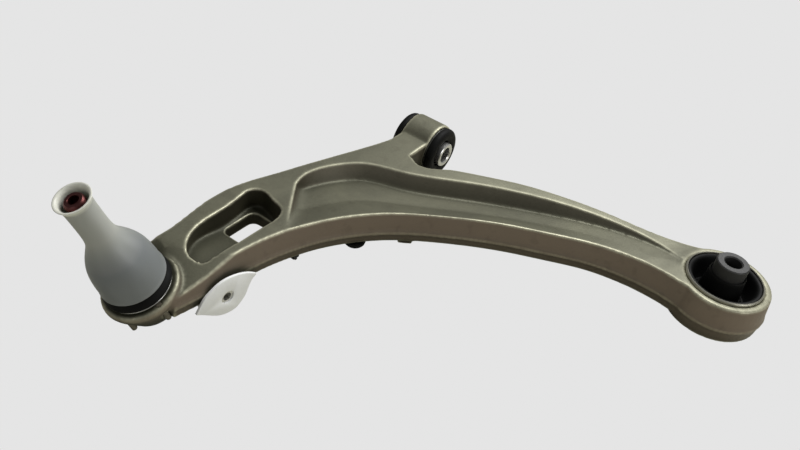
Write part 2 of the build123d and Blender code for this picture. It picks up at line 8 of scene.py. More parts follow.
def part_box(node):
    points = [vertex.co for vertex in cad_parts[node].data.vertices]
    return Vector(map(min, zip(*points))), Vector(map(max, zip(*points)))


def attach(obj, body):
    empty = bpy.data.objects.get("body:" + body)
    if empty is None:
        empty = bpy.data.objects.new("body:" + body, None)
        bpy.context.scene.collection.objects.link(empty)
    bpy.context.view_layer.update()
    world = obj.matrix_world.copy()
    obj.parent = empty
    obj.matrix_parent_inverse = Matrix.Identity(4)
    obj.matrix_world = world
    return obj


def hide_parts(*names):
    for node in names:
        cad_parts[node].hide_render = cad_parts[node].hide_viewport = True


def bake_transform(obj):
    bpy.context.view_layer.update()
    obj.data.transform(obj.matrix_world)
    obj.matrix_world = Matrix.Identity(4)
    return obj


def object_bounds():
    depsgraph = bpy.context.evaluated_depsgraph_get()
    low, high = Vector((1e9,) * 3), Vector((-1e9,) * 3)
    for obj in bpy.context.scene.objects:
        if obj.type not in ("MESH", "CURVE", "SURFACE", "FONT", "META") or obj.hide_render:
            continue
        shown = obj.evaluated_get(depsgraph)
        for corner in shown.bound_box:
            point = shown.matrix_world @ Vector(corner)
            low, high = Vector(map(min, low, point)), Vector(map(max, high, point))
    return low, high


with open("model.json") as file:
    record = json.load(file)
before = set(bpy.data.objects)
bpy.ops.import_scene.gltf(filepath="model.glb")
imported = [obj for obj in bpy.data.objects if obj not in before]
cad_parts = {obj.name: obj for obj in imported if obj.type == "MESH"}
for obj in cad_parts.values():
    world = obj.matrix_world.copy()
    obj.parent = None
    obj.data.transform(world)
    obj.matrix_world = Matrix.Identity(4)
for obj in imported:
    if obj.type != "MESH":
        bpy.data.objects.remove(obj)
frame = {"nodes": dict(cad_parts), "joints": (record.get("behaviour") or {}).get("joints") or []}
CAD_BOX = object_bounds()

bl_info = {
    "name": "Control Arm",
    "version": (1, 0, 0),
    "blender": (4, 5, 0),
    "location": "View3D > Sidebar > Control Arm",
    "description": "Finished surfaces and soft parts of a forged control arm",
    "category": "Object",
}

JOINTS = {joint["name"]: joint for joint in frame["joints"]}
MM = 0.001

# ---- stage, in metres ----------------------------------------------------------------------
STAGE_MIDDLE = (0.15, 0.1, 0.0)         # the lamps aim here, and the floor lies round it
FLOOR_SIZE = 14.0
FLOOR_GAP = 0.002                       # between the arm and the floor
FLOOR_MATT = (0.50, 0.49, 0.40)         # what the floor throws back on the arm
CAMERA_PLACE = (-0.00853, 0.53860, 0.38924)
CAMERA_RIGHT = (-0.80362, -0.57784, 0.14249)
CAMERA_UP = (0.45764, -0.44692, 0.76865)
CAMERA_BACK = (-0.38048, 0.68291, 0.62359)

# ---- sizes of the turned pieces, in millimetres ----------------------------------------------
BALL_R = 12.0
THREAD_R = 6.9                          # crest of the stud's thread
THREAD_DEPTH = 0.8
THREAD_PITCH = 1.5
THREAD_BLANK_R = 6.5                    # the plain rings before the thread is cut
THREAD_LOW, THREAD_TOP = 68.0, 98.1     # along the stud from the ball's centre
THREAD_RINGS = 160                      # rings of vertices that carry the thread
BOOT_WAIST = 19.4                       # where the boot's two halves meet
CAP_WALL = 1.3
CAP_MOUTH = 100.6
SLEEVE_HALF, SLEEVE_R, SLEEVE_BORE_R = 24.5, 11.0, 7.2
CORE_HALF, CORE_R, CORE_BORE_R = 34.0, 12.6, 6.6
FRONT_RUBBER_HALF, FRONT_RUBBER_END = 15.0, 22.2
LUG_BEVEL = 0.35


def joint_frame():
    """Place of the ball joint: origin at the ball, +Z along the stud."""
    axis = Vector(JOINTS["cap_pull"]["axis"]).normalized()
    lean = math.acos(axis.z)
    toward = math.atan2(axis.y, axis.x)
    side = Vector((math.cos(lean) * math.cos(toward), math.cos(lean) * math.sin(toward),
                   -math.sin(lean)))
    across = axis.cross(side)
    place = Matrix((side, across, axis)).transposed().to_4x4()
    return Matrix.Translation(JOINTS["ball_swing"]["pos_m"]) @ place


BALL_JOINT = joint_frame()
FRONT_BUSH = (Matrix.Translation(JOINTS["front_sleeve_twist"]["pos_m"])
              @ Matrix.Rotation(math.radians(90), 4, "Y"))
REAR_BUSH = Matrix.Identity(4)


# ---- settings ------------------------------------------------------------------------------
class ArmForgingSettings(bpy.types.PropertyGroup):
    voxel: bpy.props.FloatProperty(
        name="Voxel", description="Size of the cells that the forging is remeshed at",
        default=1.15 * MM, min=0.6 * MM, unit="LENGTH")
    rounding: bpy.props.IntProperty(
        name="Rounding", description="Passes of smoothing that round the forged edges",
        default=7, min=0, max=40)
    steel: bpy.props.FloatVectorProperty(
        name="Steel", description="Colour of the shot-blasted top",
        default=(0.180, 0.177, 0.122), size=3, min=0, max=1, subtype="COLOR")
    # Side colour: partly a browner tint, partly painted light that lightens the side walls.
    shade: bpy.props.FloatVectorProperty(
        name="Side tint and painted light", description="Colour of the browner sides",
        default=(0.205, 0.162, 0.122), size=3, min=0, max=1, subtype="COLOR")
    # Colour of the painted shade that darkens the forging's hollows and creases.
    grime_and_hollow_shade: bpy.props.FloatVectorProperty(
        name="Painted hollow shade", description="Colour of the painted shade in the hollows",
        default=(0.030, 0.030, 0.015), size=3, min=0, max=1, subtype="COLOR")
    # Worn colour: partly ground and rubbed edges, partly a painted highlight along the forging's
    # ridges.
    worn: bpy.props.FloatVectorProperty(
        name="Worn edge and highlight", description="Colour of the ground and rubbed edges",
        default=(0.68, 0.66, 0.48), size=3, min=0, max=1, subtype="COLOR")


class RubberSettings(bpy.types.PropertyGroup):
    black: bpy.props.FloatVectorProperty(
        name="Rubber", description="Colour of the bush and boot rubber",
        default=(0.002, 0.0022, 0.002), size=3, min=0, max=1, subtype="COLOR")


class CapSettings(bpy.types.PropertyGroup):
    body: bpy.props.FloatVectorProperty(
        name="Cap", description="Colour of the soft plastic cap",
        default=(0.190, 0.204, 0.207), size=3, min=0, max=1, subtype="COLOR")
    rim: bpy.props.FloatVectorProperty(
        name="Cap rim", description="Colour of the thin lip, where light comes through",
        default=(0.80, 0.80, 0.70), size=3, min=0, max=1, subtype="COLOR")


class StageSettings(bpy.types.PropertyGroup):
    pale: bpy.props.FloatVectorProperty(
        name="Floor", description="Colour of the floor and of the surroundings",
        default=(0.783, 0.783, 0.783), size=3, min=0, max=1, subtype="COLOR")
    sky: bpy.props.FloatProperty(
        name="Surroundings", description="Strength of the light from all round",
        default=0.24, min=0)
    key: bpy.props.FloatProperty(
        name="Key light", description="Strength of the soft overhead light",
        default=2.5, min=0)
    lens: bpy.props.FloatProperty(
        name="Lens", description="Focal length of the camera in millimetres",
        default=35.1, min=1, unit="CAMERA")


# ---- modelling helpers ---------------------------------------------------------------------
def clear_selection():
    if bpy.context.mode != "OBJECT":
        bpy.ops.object.mode_set(mode="OBJECT")
    bpy.ops.object.select_all(action="DESELECT")


def pick(obj):
    clear_selection()
    obj.select_set(True)
    bpy.context.view_layer.objects.active = obj


def edit(obj):
    pick(obj)
    bpy.ops.object.mode_set(mode="EDIT")
    bpy.ops.mesh.select_mode(type="VERT")


def put(obj, place):
    """Carry a finished mesh to its place, leaving its object at the origin."""
    pick(obj)
    obj.matrix_world = place
    bpy.ops.object.transform_apply(location=True, rotation=True, scale=True)


def modify(obj, kind, **values):
    """Add a modifier, set it and apply it."""
    pick(obj)
    modifier = obj.modifiers.new(kind.title(), kind)
    for name, value in values.items():
        setattr(modifier, name, value)
    bpy.ops.object.modifier_apply(modifier=modifier.name)


def soften(obj, degrees=35):
    pick(obj)
    bpy.ops.object.shade_smooth_by_angle(angle=math.radians(degrees))


def spun(name, profile, segments=96, loop=True):
    """A turned piece: a circle extruded ring by ring up a (radius, height) profile in mm.

    With loop, the last ring is bridged to the first; without, both ends are filled."""
    clear_selection()
    radius, height = profile[0]
    bpy.ops.mesh.primitive_circle_add(vertices=segments, radius=radius * MM,
                                      location=(0, 0, height * MM))
    obj = bpy.context.object
    obj.name = name
    obj.data.name = name
    bpy.ops.object.transform_apply(location=True, rotation=True, scale=True)
    edit(obj)
    bpy.ops.mesh.select_all(action="SELECT")
    for next_radius, next_height in profile[1:]:
        bpy.ops.mesh.extrude_region_move(
            TRANSFORM_OT_translate={"value": (0, 0, (next_height - height) * MM)})
        k = next_radius / radius
        bpy.ops.transform.resize(value=(k, k, 1), center_override=(0, 0, next_height * MM))
        radius, height = next_radius, next_height
    bpy.ops.mesh.select_all(action="DESELECT")
    bpy.ops.mesh.select_non_manifold()
    if loop:
        bpy.ops.mesh.bridge_edge_loops()
    else:
        bpy.ops.mesh.fill_holes(sides=0)
    bpy.ops.mesh.select_all(action="SELECT")
    bpy.ops.mesh.normals_make_consistent(inside=False)
    bpy.ops.object.mode_set(mode="OBJECT")
    return obj


def copied(node, name):
    """A merged copy of a CAD node's mesh."""
    source = frame["nodes"][node]
    obj = bpy.data.objects.new(name, source.data.copy())
    obj.data.name = name
    bpy.context.scene.collection.objects.link(obj)
    edit(obj)
    bpy.ops.mesh.select_all(action="SELECT")
    bpy.ops.mesh.remove_doubles(threshold=0.004 * MM)
    bpy.ops.mesh.normals_make_consistent(inside=False)
    bpy.ops.object.mode_set(mode="OBJECT")
    return obj


def dress(obj, material):
    """One material all over a piece or a CAD node."""
    if not obj.material_slots:
        obj.data.materials.append(material)
    for slot in obj.material_slots:
        slot.material = material


def finish_piece(obj, material, body, slot, *nodes):
    dress(obj, material)
    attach(obj, body)
    if nodes:
        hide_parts(*nodes)


# ---- material helpers ----------------------------------------------------------------------
def group_socket(tree, name, way, kind="NodeSocketFloat", default=None):
    socket = tree.interface.new_socket(name=name, in_out=way, socket_type=kind)
    if default is not None:
        socket.default_value = default


def node(tree, kind, **values):
    """A new node; values set its properties, or its inputs when the name is not one."""
    new = tree.nodes.new(kind)
    for name, value in values.items():
        setattr(new, name, value)
    return new


def ramp(tree, source, low, high, to_low=0.0, to_high=1.0):
    """Map a value from low..high to to_low..to_high, clamped."""
    new = node(tree, "ShaderNodeMapRange")
    new.inputs["From Min"].default_value = low
    new.inputs["From Max"].default_value = high
    new.inputs["To Min"].default_value = to_low
    new.inputs["To Max"].default_value = to_high
    tree.links.new(source, new.inputs["Value"])
    return new.outputs["Result"]


def maths(tree, operation, a, b):
    new = node(tree, "ShaderNodeMath", operation=operation)
    for socket, value in zip(new.inputs, (a, b)):
        if isinstance(value, (int, float)):
            socket.default_value = value
        else:
            tree.links.new(value, socket)
    return new.outputs[0]


def mixed(tree, factor, a, b, blend="MIX"):
    """Two colours mixed; each is a colour or a socket."""
    new = node(tree, "ShaderNodeMix", data_type="RGBA", blend_type=blend)
    sockets = (new.inputs[0], new.inputs[6], new.inputs[7])
    for socket, value in zip(sockets, (factor, a, b)):
        if isinstance(value, bpy.types.NodeSocket):
            tree.links.new(value, socket)
        elif isinstance(value, (int, float)):
            socket.default_value = value
        else:
            socket.default_value = (*value[:3], 1.0)
    return new.outputs[2]


def grain_group():
    """Fine surface grain: a height for bump and a mask for speckle."""
    tree = bpy.data.node_groups.new("Surface grain", "ShaderNodeTree")
    group_socket(tree, "Grain size", "INPUT", default=900.0)
    group_socket(tree, "Pit size", "INPUT", default=220.0)
    group_socket(tree, "Height", "OUTPUT")
    group_socket(tree, "Speckle", "OUTPUT")
    inputs = node(tree, "NodeGroupInput")
    place = node(tree, "ShaderNodeTexCoord")
    fine = node(tree, "ShaderNodeTexNoise")
    fine.inputs["Detail"].default_value = 4.0
    pits = node(tree, "ShaderNodeTexVoronoi")
    coarse = node(tree, "ShaderNodeTexNoise")
    coarse.inputs["Detail"].default_value = 2.0
    for new in (fine, pits, coarse):
        tree.links.new(place.outputs["Object"], new.inputs["Vector"])
    tree.links.new(inputs.outputs["Grain size"], fine.inputs["Scale"])
    tree.links.new(inputs.outputs["Pit size"], pits.inputs["Scale"])
    tree.links.new(inputs.outputs["Pit size"], coarse.inputs["Scale"])
    pitted = ramp(tree, pits.outputs["Distance"], 0.0, 0.35)
    height = maths(tree, "ADD", maths(tree, "MULTIPLY", fine.outputs["Fac"], 0.6),
                   maths(tree, "MULTIPLY", pitted, 0.2))
    height = maths(tree, "ADD", height, maths(tree, "MULTIPLY", coarse.outputs["Fac"], 0.5))
    outputs = node(tree, "NodeGroupOutput")
    tree.links.new(height, outputs.inputs["Height"])
    tree.links.new(ramp(tree, fine.outputs["Fac"], 0.35, 0.65), outputs.inputs["Speckle"])
    return tree


def wear_highlight_and_crease_shade_group():
    """Mask of rubbed edges, which also places painted highlights, broken up by noise, and of
    hollows, which places painted shade.
    """
    tree = bpy.data.node_groups.new("Edge wear, highlight and crease shade", "ShaderNodeTree")
    group_socket(tree, "Start", "INPUT", default=0.52)
    group_socket(tree, "Full", "INPUT", default=0.60)
    group_socket(tree, "Break-up", "INPUT", default=120.0)
    group_socket(tree, "Edge", "OUTPUT")
    group_socket(tree, "Crease shade", "OUTPUT")
    inputs = node(tree, "NodeGroupInput")
    place = node(tree, "ShaderNodeTexCoord")
    surface = node(tree, "ShaderNodeNewGeometry")
    broken = node(tree, "ShaderNodeTexNoise")
    broken.inputs["Detail"].default_value = 4.0
    tree.links.new(place.outputs["Object"], broken.inputs["Vector"])
    tree.links.new(inputs.outputs["Break-up"], broken.inputs["Scale"])
    edge = node(tree, "ShaderNodeMapRange")
    tree.links.new(surface.outputs["Pointiness"], edge.inputs["Value"])
    tree.links.new(inputs.outputs["Start"], edge.inputs["From Min"])
    tree.links.new(inputs.outputs["Full"], edge.inputs["From Max"])
    patchy = ramp(tree, broken.outputs["Fac"], 0.25, 0.60, 0.35, 1.0)
    outputs = node(tree, "NodeGroupOutput")
    tree.links.new(maths(tree, "MULTIPLY", edge.outputs["Result"], patchy),
                   outputs.inputs["Edge"])
    # Low pointiness marks concave creases, where painted shade goes.
    tree.links.new(ramp(tree, surface.outputs["Pointiness"], 0.49, 0.44),
                   outputs.inputs["Crease shade"])
    return tree


def stain_group():
    """Large soft blotches and small spots, as oil and oxide leave."""
    tree = bpy.data.node_groups.new("Stains", "ShaderNodeTree")
    group_socket(tree, "Blotch size", "INPUT", default=16.0)
    group_socket(tree, "Blotch", "OUTPUT")
    group_socket(tree, "Spots", "OUTPUT")
    inputs = node(tree, "NodeGroupInput")
    place = node(tree, "ShaderNodeTexCoord")
    big = node(tree, "ShaderNodeTexNoise")
    big.inputs["Detail"].default_value = 5.0
    big.inputs["Roughness"].default_value = 0.62
    big.inputs["Distortion"].default_value = 0.6
    small = node(tree, "ShaderNodeTexNoise")
    small.inputs["Detail"].default_value = 3.0
    tree.links.new(place.outputs["Object"], big.inputs["Vector"])
    tree.links.new(place.outputs["Object"], small.inputs["Vector"])
    tree.links.new(inputs.outputs["Blotch size"], big.inputs["Scale"])
    tree.links.new(maths(tree, "MULTIPLY", inputs.outputs["Blotch size"], 7.0),
                   small.inputs["Scale"])
    outputs = node(tree, "NodeGroupOutput")
    tree.links.new(ramp(tree, big.outputs["Fac"], 0.36, 0.66), outputs.inputs["Blotch"])
    tree.links.new(ramp(tree, small.outputs["Fac"], 0.58, 0.68), outputs.inputs["Spots"])
    return tree


GROUPS = {}


def shared(tree, name, **values):
    """Place a shared effect in a material with its own values."""
    makers = {"Surface grain": grain_group, "Edge wear, highlight and crease shade": wear_highlight_and_crease_shade_group, "Stains": stain_group}
    if name not in GROUPS:
        GROUPS[name] = makers[name]()
    new = node(tree, "ShaderNodeGroup", node_tree=GROUPS[name])
    for socket, value in values.items():
        new.inputs[socket.replace("_", " ")].default_value = value
    return new.outputs


def new_material(name, roughness=0.5, metallic=0.0, **constants):
    """(tree, shader) of a new material; constants are set on the shader's own sockets."""
    material = bpy.data.materials.new(name)
    material.use_nodes = True
    tree = material.node_tree
    shader = tree.nodes["Principled BSDF"]
    shader.inputs["Roughness"].default_value = roughness
    shader.inputs["Metallic"].default_value = metallic
    for socket, value in constants.items():
        shader.inputs[socket.replace("_", " ")].default_value = value
    return material, tree, shader


def bumped(tree, shader, height, distance_mm, strength=1.0):
    new = node(tree, "ShaderNodeBump")
    new.inputs["Distance"].default_value = distance_mm * MM
    new.inputs["Strength"].default_value = strength
    tree.links.new(height, new.inputs["Height"])
    tree.links.new(new.outputs["Normal"], shader.inputs["Normal"])


def forged_steel():
    """Shot-blasted forging: olive grey, blotched; browner and lighter on the sides, partly a
    tint and partly painted light; bright on ridges from wear and a painted highlight; painted
    shade in hollows.
    """
    values = bpy.context.scene.arm_forging
    material, tree, shader = new_material("Forged steel", metallic=0.45)
    grain = shared(tree, "Surface grain", Grain_size=1500.0, Pit_size=420.0)
    wear = shared(tree, "Edge wear, highlight and crease shade", Start=0.506, Full=0.560)
    stains = shared(tree, "Stains", Blotch_size=15.0)
    steel = values.steel
    top = mixed(tree, stains["Blotch"], [channel * 0.55 for channel in steel], steel)
    top = mixed(tree, maths(tree, "MULTIPLY", grain["Speckle"], 0.35), top,
                [channel * 1.4 for channel in steel])
    surface = node(tree, "ShaderNodeNewGeometry")
    facing = node(tree, "ShaderNodeSeparateXYZ")
    local = node(tree, "ShaderNodeVectorTransform", vector_type="NORMAL",
                 convert_from="WORLD", convert_to="OBJECT")
    tree.links.new(surface.outputs["True Normal"], local.inputs["Vector"])
    tree.links.new(local.outputs["Vector"], facing.inputs["Vector"])
    # Painted light: faces turned sideways take the lighter, browner side colour, partly a real
    # tint and partly painted light on the walls.
    side = ramp(tree, facing.outputs["Z"], 0.80, 0.25)
    colour = mixed(tree, side, top, values.shade)
    colour = mixed(tree, maths(tree, "MULTIPLY", stains["Spots"], 0.15), colour,
                   (0.06, 0.05, 0.03))
    # Painted shade: ambient occlusion darkens recesses such as the channel towards the hollow
    # shade colour.
    shut = node(tree, "ShaderNodeAmbientOcclusion", samples=8)
    shut.inputs["Distance"].default_value = 45.0 * MM
    occlusion_shade = ramp(tree, shut.outputs["AO"], 0.97, 0.70, 0.0, 0.92)
    colour = mixed(tree, occlusion_shade, colour, values.grime_and_hollow_shade)
    # Painted shade in concave creases, where the pointiness is low.
    colour = mixed(tree, maths(tree, "MULTIPLY", wear["Crease shade"], 0.5), colour,
                   values.grime_and_hollow_shade)
    # Ridges lighten to the worn colour, partly as real wear and partly as a painted highlight.
    colour = mixed(tree, wear["Edge"], colour, values.worn)
    tree.links.new(colour, shader.inputs["Base Color"])
    rough = ramp(tree, stains["Blotch"], 0.0, 1.0, 0.56, 0.46)
    rough = maths(tree, "SUBTRACT", rough, maths(tree, "MULTIPLY", wear["Edge"], 0.12))
    tree.links.new(rough, shader.inputs["Roughness"])
    bumped(tree, shader, grain["Height"], 0.10, 0.8)
    return material


def metal(name, colour, roughness, metallic=0.9, grime_and_hollow_shade=(0.03, 0.028, 0.024), wear_by=0.4,
          stain=0.35):
    """A plain steel or zinc finish with worn edges, faint stains and grain."""
    material, tree, shader = new_material(name, metallic=metallic)
    grains = shared(tree, "Surface grain", Grain_size=2200.0, Pit_size=550.0)
    wear = shared(tree, "Edge wear, highlight and crease shade", Start=0.53, Full=0.62)
    stains = shared(tree, "Stains", Blotch_size=60.0)
    bright = [min(1.0, channel * 1.4 + 0.05) for channel in colour]
    result = mixed(tree, maths(tree, "MULTIPLY", stains["Blotch"], stain), colour,
                   [channel * 0.7 for channel in colour])
    result = mixed(tree, maths(tree, "MULTIPLY", stains["Spots"], 0.25), result, grime_and_hollow_shade)
    result = mixed(tree, maths(tree, "MULTIPLY", wear["Edge"], wear_by), result, bright)
    tree.links.new(result, shader.inputs["Base Color"])
    rough = ramp(tree, grains["Speckle"], 0.0, 1.0, roughness - 0.06, roughness + 0.08)
    tree.links.new(rough, shader.inputs["Roughness"])
    bumped(tree, shader, grains["Height"], 0.02, 0.7)
    return material


def black_rubber():
    """Moulded black rubber: fine matt grain, a grey bloom of dust on raised edges."""
    material, tree, shader = new_material("Black rubber", Specular_IOR_Level=0.16)
    values = bpy.context.scene.rubber_parts
    grain = shared(tree, "Surface grain", Grain_size=2600.0, Pit_size=700.0)
    wear = shared(tree, "Edge wear, highlight and crease shade", Start=0.53, Full=0.70)
    stains = shared(tree, "Stains", Blotch_size=45.0)
    colour = mixed(tree, maths(tree, "MULTIPLY", stains["Blotch"], 0.3), values.black,
                   (0.006, 0.006, 0.005))
    colour = mixed(tree, maths(tree, "MULTIPLY", wear["Edge"], 0.15), colour,
                   (0.02, 0.02, 0.018))
    tree.links.new(colour, shader.inputs["Base Color"])
    rough = ramp(tree, stains["Blotch"], 0.0, 1.0, 0.55, 0.72)
    tree.links.new(rough, shader.inputs["Roughness"])
    bumped(tree, shader, grain["Height"], 0.03, 0.6)
    return material


def cap_plastic():
    """Thin milky polythene: grey where the dark stud shows through, pale at the lip."""
    values = bpy.context.scene.transport_cap
    material, tree, shader = new_material("Cap plastic", roughness=0.42,
                                          Subsurface_Weight=0.25, Subsurface_Scale=0.004)
    shader.inputs["Subsurface Radius"].default_value = (1.0, 1.0, 0.9)
    place = node(tree, "ShaderNodeTexCoord")
    turn = node(tree, "ShaderNodeMapping", vector_type="POINT")
    back = BALL_JOINT.inverted()
    turn.inputs["Location"].default_value = back.to_translation()
    turn.inputs["Rotation"].default_value = back.to_euler("XYZ")
    tree.links.new(place.outputs["Object"], turn.inputs["Vector"])
    along = node(tree, "ShaderNodeSeparateXYZ")
    tree.links.new(turn.outputs["Vector"], along.inputs["Vector"])
    stains = shared(tree, "Stains", Blotch_size=30.0)
    grain = shared(tree, "Surface grain", Grain_size=1200.0, Pit_size=260.0)
    cloudy = mixed(tree, maths(tree, "MULTIPLY", stains["Blotch"], 0.5), values.body,
                   [channel * 1.14 for channel in values.body])
    lip = ramp(tree, along.outputs["Z"], 95.0 * MM, 98.6 * MM)
    foot = ramp(tree, along.outputs["Z"], 21.0 * MM, 16.0 * MM, 0.0, 0.25)
    colour = mixed(tree, foot, cloudy, (0.30, 0.30, 0.28))
    neck = ramp(tree, along.outputs["Z"], 44.0 * MM, 66.0 * MM, 0.0, 0.35)
    colour = mixed(tree, neck, colour, values.rim)
    colour = mixed(tree, lip, colour, values.rim)
    tree.links.new(colour, shader.inputs["Base Color"])
    bumped(tree, shader, grain["Height"], 0.05, 0.5)
    return material


def seat_plastic():
    material, tree, shader = new_material("Liner plastic", Specular_IOR_Level=0.4)
    grain = shared(tree, "Surface grain", Grain_size=1500.0, Pit_size=350.0)
    stains = shared(tree, "Stains", Blotch_size=50.0)
    colour = mixed(tree, stains["Blotch"], (0.55, 0.52, 0.44), (0.40, 0.37, 0.30))
    tree.links.new(colour, shader.inputs["Base Color"])
    tree.links.new(ramp(tree, grain["Speckle"], 0.0, 1.0, 0.38, 0.50),
                   shader.inputs["Roughness"])
    bumped(tree, shader, grain["Height"], 0.02, 0.5)
    return material


FINISHES = {}


def finish(name):
    """A material by name, made the first time it is asked for."""
    makers = {
        "forging": forged_steel,
        "rubber": black_rubber,
        "cap_plastic": cap_plastic,
        "seat_plastic": seat_plastic,
        "zinc_steel": lambda: metal("Zinc steel", (0.62, 0.62, 0.60), 0.30),
        "white_zinc": lambda: metal("White zinc", (0.94, 0.95, 0.94), 0.5, metallic=0.0,
                                    grime_and_hollow_shade=(0.8, 0.8, 0.76), stain=0.1),
        "dark_steel": lambda: metal("Dark steel", (0.10, 0.10, 0.095), 0.42),
        "pin_steel": lambda: metal("Pin steel", (0.15, 0.135, 0.10), 0.5, metallic=0.4,
                                   wear_by=0.1),
        "core_steel": lambda: metal("Core steel", (0.030, 0.030, 0.029), 0.5, metallic=0.3,
                                    wear_by=0.3),
        "stud_steel": lambda: metal("Stud steel", (0.095, 0.028, 0.026), 0.36,
                                    grime_and_hollow_shade=(0.02, 0.008, 0.006)),
        "shell_alloy": lambda: metal("Ring steel", (0.40, 0.39, 0.32), 0.45),
        "black_plastic": lambda: metal("Black plastic", (0.012, 0.012, 0.012), 0.5,
                                       metallic=0.0, wear_by=0.1),
    }
    if name not in FINISHES:
        FINISHES[name] = makers[name]()
    return FINISHES[name]


# ---- operators -----------------------------------------------------------------------------
class ARM_OT_stage(bpy.types.Operator):
    """Add the pale floor, the soft lights and the camera"""
    bl_idname = "arm.stage"
    bl_label = "Stage"

    def execute(self, context):
        values = context.scene.arm_stage
        low = CAD_BOX[0][2]
        bpy.ops.mesh.primitive_plane_add(
            size=FLOOR_SIZE, location=(*STAGE_MIDDLE[:2], low - FLOOR_GAP))
        floor = context.object
        floor.name = "floor"
        material = bpy.data.materials.new("Pale floor")
        material.use_nodes = True
        tree = material.node_tree
        tree.nodes.clear()
        seen = node(tree, "ShaderNodeLightPath")
        pale = node(tree, "ShaderNodeEmission")
        pale.inputs["Color"].default_value = (*values.pale, 1)
        matt = node(tree, "ShaderNodeBsdfDiffuse")
        matt.inputs["Color"].default_value = (*FLOOR_MATT, 1)
        mix = node(tree, "ShaderNodeMixShader")
        end = node(tree, "ShaderNodeOutputMaterial")
        tree.links.new(seen.outputs["Is Camera Ray"], mix.inputs[0])
        tree.links.new(matt.outputs[0], mix.inputs[1])
        tree.links.new(pale.outputs[0], mix.inputs[2])
        tree.links.new(mix.outputs[0], end.inputs["Surface"])
        dress(floor, material)
        world = bpy.data.worlds.new("Studio")
        context.scene.world = world
        world.use_nodes = True
        tree = world.node_tree
        back = tree.nodes["Background"]
        back.inputs["Color"].default_value = (*values.pale, 1)
        seen = node(tree, "ShaderNodeLightPath")
        tree.links.new(ramp(tree, seen.outputs["Is Camera Ray"], 0, 1, values.sky, 1.0),
                       back.inputs["Strength"])
        self.lamp(context, "overhead", (0.10, -0.55, 0.95), 0.9, values.key * 6.0)
        self.lamp(context, "side", (-0.9, 0.15, 0.45), 0.5, values.key * 1.0)
        self.lamp(context, "front_fill", (0.25, 1.3, 0.7), 0.8, values.key * 0.48)
        self.camera(context, values)
        context.scene.view_settings.view_transform = "Standard"
        return {"FINISHED"}

    def lamp(self, context, name, place, size, watts):
        light = bpy.data.lights.new(name, "AREA")
        light.shape = "DISK"
        light.size = size
        light.energy = watts
        lamp = bpy.data.objects.new(name, light)
        aim = Vector(STAGE_MIDDLE) - Vector(place)
        lamp.rotation_euler = aim.to_track_quat("-Z", "Y").to_euler()
        lamp.location = place
        context.scene.collection.objects.link(lamp)

    def camera(self, context, values):
        """Looking down from the ball joint side, turned a little about its own axis."""
        data = bpy.data.cameras.new("camera")
        data.lens = values.lens
        data.sensor_width = 36.0
        data.clip_start = 0.01
        camera = bpy.data.objects.new("camera", data)
        context.scene.collection.objects.link(camera)
        turn = Matrix((CAMERA_RIGHT, CAMERA_UP, CAMERA_BACK)).transposed().to_4x4()
        camera.matrix_world = Matrix.Translation(CAMERA_PLACE) @ turn
        context.scene.camera = camera


class ARM_OT_forging(bpy.types.Operator):
    """Round the forging's edges and give it its blasted skin"""
    bl_idname = "arm.forging"
    bl_label = "Forging"

    def execute(self, context):
        values = context.scene.arm_forging
        arm = copied("arm_forging", "forged_arm")
        modify(arm, "REMESH", mode="VOXEL", voxel_size=values.voxel)
        modify(arm, "SMOOTH", factor=0.5, iterations=values.rounding)
        pick(arm)
        bpy.ops.object.shade_smooth()
        finish_piece(arm, finish("forging"), "arm", "forging", "arm_forging")
        return {"FINISHED"}


class ARM_OT_front_bush(bpy.types.Operator):
    """Model the front bush's rubber and its sleeve"""
    bl_idname = "arm.front_bush"
    bl_label = "Front bush"

    def execute(self, context):
        half, end = FRONT_RUBBER_HALF, FRONT_RUBBER_END
        face = [(11.3, end - 2.6), (12.6, end - 2.2), (13.6, end - 1.0), (15.4, end - 0.2),
                (17.6, end), (19.6, end - 0.1), (21.6, end - 1.0), (22.9, end - 2.6),
                (23.2, end - 4.4), (23.1, half + 0.6), (22.3, half + 0.15), (20.5, half)]
        profile = [(r, -z) for r, z in face] + [(r, z) for r, z in reversed(face)]
        rubber = spun("front_rubber", profile, 96)
        modify(rubber, "SUBSURF", levels=1, render_levels=1)
        put(rubber, FRONT_BUSH)
        soften(rubber)
        finish_piece(rubber, finish("rubber"), "arm", "rubber", "front_bush_rubber")

        length, outer, bore = SLEEVE_HALF, SLEEVE_R, SLEEVE_BORE_R
        profile = [(bore, -length + 0.9), (bore + 0.9, -length), (outer - 0.7, -length),
                   (outer, -length + 0.7), (outer, -length + 1.4), (outer, length - 1.4),
                   (outer, length - 0.7), (outer - 0.7, length), (bore + 0.9, length),
                   (bore, length - 0.9), (bore, length - 1.6), (bore, -length + 1.6)]
        sleeve = spun("front_sleeve", profile, 120)
        put(sleeve, FRONT_BUSH)
        soften(sleeve, 30)
        finish_piece(sleeve, finish("zinc_steel"), "front_sleeve", "zinc_steel",
                     "front_bush_inner_sleeve")
        dress(frame["nodes"]["front_bush_outer_shell"], finish("dark_steel"))
        return {"FINISHED"}


